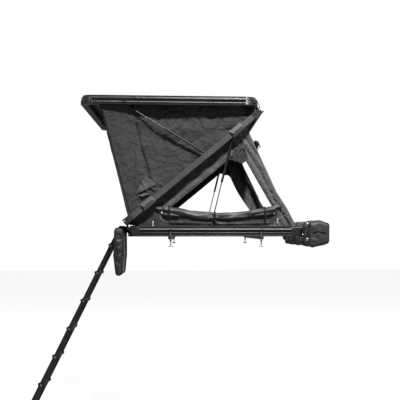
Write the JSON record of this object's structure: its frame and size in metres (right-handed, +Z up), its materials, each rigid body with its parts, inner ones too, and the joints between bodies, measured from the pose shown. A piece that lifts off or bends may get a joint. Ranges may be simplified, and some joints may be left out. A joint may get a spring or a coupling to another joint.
{
  "type": "roof top tent",
  "caption": "Hard-shell roof top tent that unfolds as a wedge: base tray, hinged mid frame, top shell, gas struts, quilted walls, latches and telescopic ladder.",
  "frame": {"origin": "centre of the rack bolt pattern on the underside of the rack rails", "axes": "+X along the fold towards the free end of the base, +Y across the fold, +Z up"},
  "size_m": [2.7821, 2.196, 2.9097],
  "materials": {
    "black_rail": "satin",
    "black_cast": "satin",
    "panel_alu": "satin",
    "rack_alu": "satin",
    "mattress_cover": "matte",
    "seal_rubber": "matte",
    "black_steel": "satin",
    "steel": "satin",
    "bag_fabric": "matte",
    "wall_fabric": "matte",
    "roll_fabric": "matte",
    "grey_frame": "satin",
    "sleeve_plastic": "matte",
    "track_alu": "satin",
    "soffit_fabric": "matte",
    "strut_black": "satin",
    "strut_chrome": "polished",
    "latch_steel": "satin",
    "ladder_alu": "satin",
    "foot_rubber": "matte"
  },
  "bodies": {
    "base": {"base_side_rails": "black_rail", "base_end_rails": "black_rail", "base_corners": "black_cast", "floor_panel": "panel_alu", "rack_rails": "rack_alu", "mattress": "mattress_cover", "base_seal": "seal_rubber", "base_hinge_leaves": "black_steel", "base_hinge_pins": "steel", "latch_brackets": "black_steel", "base_strut_mounts": "black_steel", "ladder_bracket": "black_steel", "boot_bag": "bag_fabric", "side_bag": "bag_fabric", "side_bag_brackets": "black_steel", "lower_walls": "wall_fabric", "window_rolls": "roll_fabric", "right_wall": "wall_fabric", "right_window_roll": "roll_fabric"},
    "frame": {"arm_near": "grey_frame", "arm_far": "grey_frame", "frame_crossbars": "grey_frame", "frame_end_sleeves": "sleeve_plastic", "frame_hinge_leaves": "black_steel", "saddle_brackets": "grey_frame", "saddle_bolts": "steel", "frame_strut_studs": "steel", "fabric_tracks": "track_alu", "end_soffit": "soffit_fabric", "upper_walls": "wall_fabric", "entrance_wall": "wall_fabric"},
    "top": {"top_side_rails": "black_rail", "top_end_rails": "black_rail", "top_corners": "black_cast", "roof_panel": "panel_alu", "top_hinge_leaves": "black_steel", "top_hinge_pins": "steel", "latch_keepers": "black_steel", "top_strut_mounts": "black_steel"},
    "lower_tube_near": {"lower_strut_tube_near": "strut_black"},
    "lower_rod_near": {"lower_strut_rod_near": "strut_chrome"},
    "lower_tube_far": {"lower_strut_tube_far": "strut_black"},
    "lower_rod_far": {"lower_strut_rod_far": "strut_chrome"},
    "upper_tube_near": {"upper_strut_tube_near": "strut_black"},
    "upper_rod_near": {"upper_strut_rod_near": "strut_chrome"},
    "upper_tube_far": {"upper_strut_tube_far": "strut_black"},
    "upper_rod_far": {"upper_strut_rod_far": "strut_chrome"},
    "latch_near_left": {"latch_near_left": "latch_steel"},
    "latch_near_right": {"latch_near_right": "latch_steel"},
    "latch_far_left": {"latch_far_left": "latch_steel"},
    "latch_far_right": {"latch_far_right": "latch_steel"},
    "ladder_head": {"ladder_top": "ladder_alu"},
    "ladder_1": {"ladder_section_1": "ladder_alu"},
    "ladder_2": {"ladder_section_2": "ladder_alu"},
    "ladder_3": {"ladder_section_3": "ladder_alu"},
    "ladder_4": {"ladder_section_4": "ladder_alu"},
    "ladder_5": {"ladder_section_5": "ladder_alu"},
    "ladder_6": {"ladder_section_6": "ladder_alu", "ladder_feet": "foot_rubber"}
  },
  "joints": [
    {"name": "frame_fold", "type": "hinge", "parent": "base", "child": "frame", "pos_m": [-0.784, 0, 0.115], "axis": [0, 1, 0], "range_deg": [0, 39.7], "stiffness_Nm_per_rad": 300, "springref_deg": -171.89, "deforming": ["lower_walls", "right_wall", "window_rolls", "right_window_roll"]},
    {"name": "top_fold", "type": "hinge", "parent": "frame", "child": "top", "pos_m": [0.37771, 0, 1.17045], "axis": [0, 1, 0], "range_deg": [-39.7, 0], "deforming": ["upper_walls", "entrance_wall"]},
    {"name": "lower_strut_near_swing", "type": "hinge", "parent": "frame", "child": "lower_tube_near", "pos_m": [0.15242, -1.027, 0.92362], "axis": [0, 1, 0], "range_deg": [0, 35.54]},
    {"name": "lower_strut_near_slide", "type": "slide", "parent": "lower_tube_near", "child": "lower_rod_near", "axis": [0.2353, 0, 0.9719], "range_m": [0, 0.32468]},
    {"name": "lower_strut_far_swing", "type": "hinge", "parent": "frame", "child": "lower_tube_far", "pos_m": [0.15242, 1.027, 0.92362], "axis": [0, 1, 0], "range_deg": [0, 35.54]},
    {"name": "lower_strut_far_slide", "type": "slide", "parent": "lower_tube_far", "child": "lower_rod_far", "axis": [0.2353, 0, 0.9719], "range_m": [0, 0.32468]},
    {"name": "upper_strut_near_swing", "type": "hinge", "parent": "frame", "child": "upper_tube_near", "pos_m": [-0.08681, -1.027, 0.75621], "axis": [0, 1, 0], "range_deg": [-69.9, 0]},
    {"name": "upper_strut_near_slide", "type": "slide", "parent": "upper_tube_near", "child": "upper_rod_near", "axis": [0.8563, 0, -0.5165], "range_m": [0, 0.269]},
    {"name": "upper_strut_far_swing", "type": "hinge", "parent": "frame", "child": "upper_tube_far", "pos_m": [-0.08681, 1.027, 0.75621], "axis": [0, 1, 0], "range_deg": [-69.9, 0]},
    {"name": "upper_strut_far_slide", "type": "slide", "parent": "upper_tube_far", "child": "upper_rod_far", "axis": [0.8563, 0, -0.5165], "range_m": [0, 0.269]},
    {"name": "latch_near_left_swing", "type": "hinge", "parent": "base", "child": "latch_near_left", "pos_m": [-0.398, -1.086, 0.08], "axis": [-1, 0, 0], "range_deg": [0, 170]},
    {"name": "latch_near_right_swing", "type": "hinge", "parent": "base", "child": "latch_near_right", "pos_m": [0.398, -1.086, 0.08], "axis": [-1, 0, 0], "range_deg": [0, 170]},
    {"name": "latch_far_left_swing", "type": "hinge", "parent": "base", "child": "latch_far_left", "pos_m": [-0.398, 1.086, 0.08], "axis": [1, 0, 0], "range_deg": [0, 170]},
    {"name": "latch_far_right_swing", "type": "hinge", "parent": "base", "child": "latch_far_right", "pos_m": [0.398, 1.086, 0.08], "axis": [1, 0, 0], "range_deg": [0, 170]},
    {"name": "ladder_swing", "type": "hinge", "parent": "base", "child": "ladder_head", "pos_m": [-0.877, -0.3, 0.107], "axis": [0, 1, 0], "range_deg": [0, 60]},
    {"name": "ladder_slide_1", "type": "slide", "parent": "ladder_head", "child": "ladder_1", "axis": [0.4431, 0, 0.8965], "range_m": [0, 0.13]},
    {"name": "ladder_slide_2", "type": "slide", "parent": "ladder_1", "child": "ladder_2", "axis": [0.4431, 0, 0.8965], "range_m": [0, 0.235]},
    {"name": "ladder_slide_3", "type": "slide", "parent": "ladder_2", "child": "ladder_3", "axis": [0.4431, 0, 0.8965], "range_m": [0, 0.235]},
    {"name": "ladder_slide_4", "type": "slide", "parent": "ladder_3", "child": "ladder_4", "axis": [0.4431, 0, 0.8965], "range_m": [0, 0.235]},
    {"name": "ladder_slide_5", "type": "slide", "parent": "ladder_4", "child": "ladder_5", "axis": [0.4431, 0, 0.8965], "range_m": [0, 0.235]},
    {"name": "ladder_slide_6", "type": "slide", "parent": "ladder_5", "child": "ladder_6", "axis": [0.4431, 0, 0.8965], "range_m": [0, 0.235]}
  ],
  "couplings": [
    {"joint": "top_fold", "follows": "frame_fold", "ratio": -1},
    {"joint": "lower_strut_near_swing", "follows": "frame_fold", "ratio": 0.89486},
    {"joint": "lower_strut_near_slide", "follows": "frame_fold", "m_per_rad": 0.4683},
    {"joint": "lower_strut_far_swing", "follows": "frame_fold", "ratio": 0.89486},
    {"joint": "lower_strut_far_slide", "follows": "frame_fold", "m_per_rad": 0.4683},
    {"joint": "upper_strut_near_swing", "follows": "frame_fold", "ratio": -1.7606},
    {"joint": "upper_strut_near_slide", "follows": "frame_fold", "m_per_rad": 0.38793},
    {"joint": "upper_strut_far_swing", "follows": "frame_fold", "ratio": -1.7606},
    {"joint": "upper_strut_far_slide", "follows": "frame_fold", "m_per_rad": 0.38793},
    {"joint": "ladder_slide_2", "follows": "ladder_slide_1", "ratio": 1.8077},
    {"joint": "ladder_slide_3", "follows": "ladder_slide_1", "ratio": 1.8077},
    {"joint": "ladder_slide_4", "follows": "ladder_slide_1", "ratio": 1.8077},
    {"joint": "ladder_slide_5", "follows": "ladder_slide_1", "ratio": 1.8077},
    {"joint": "ladder_slide_6", "follows": "ladder_slide_1", "ratio": 1.8077}
  ]
}
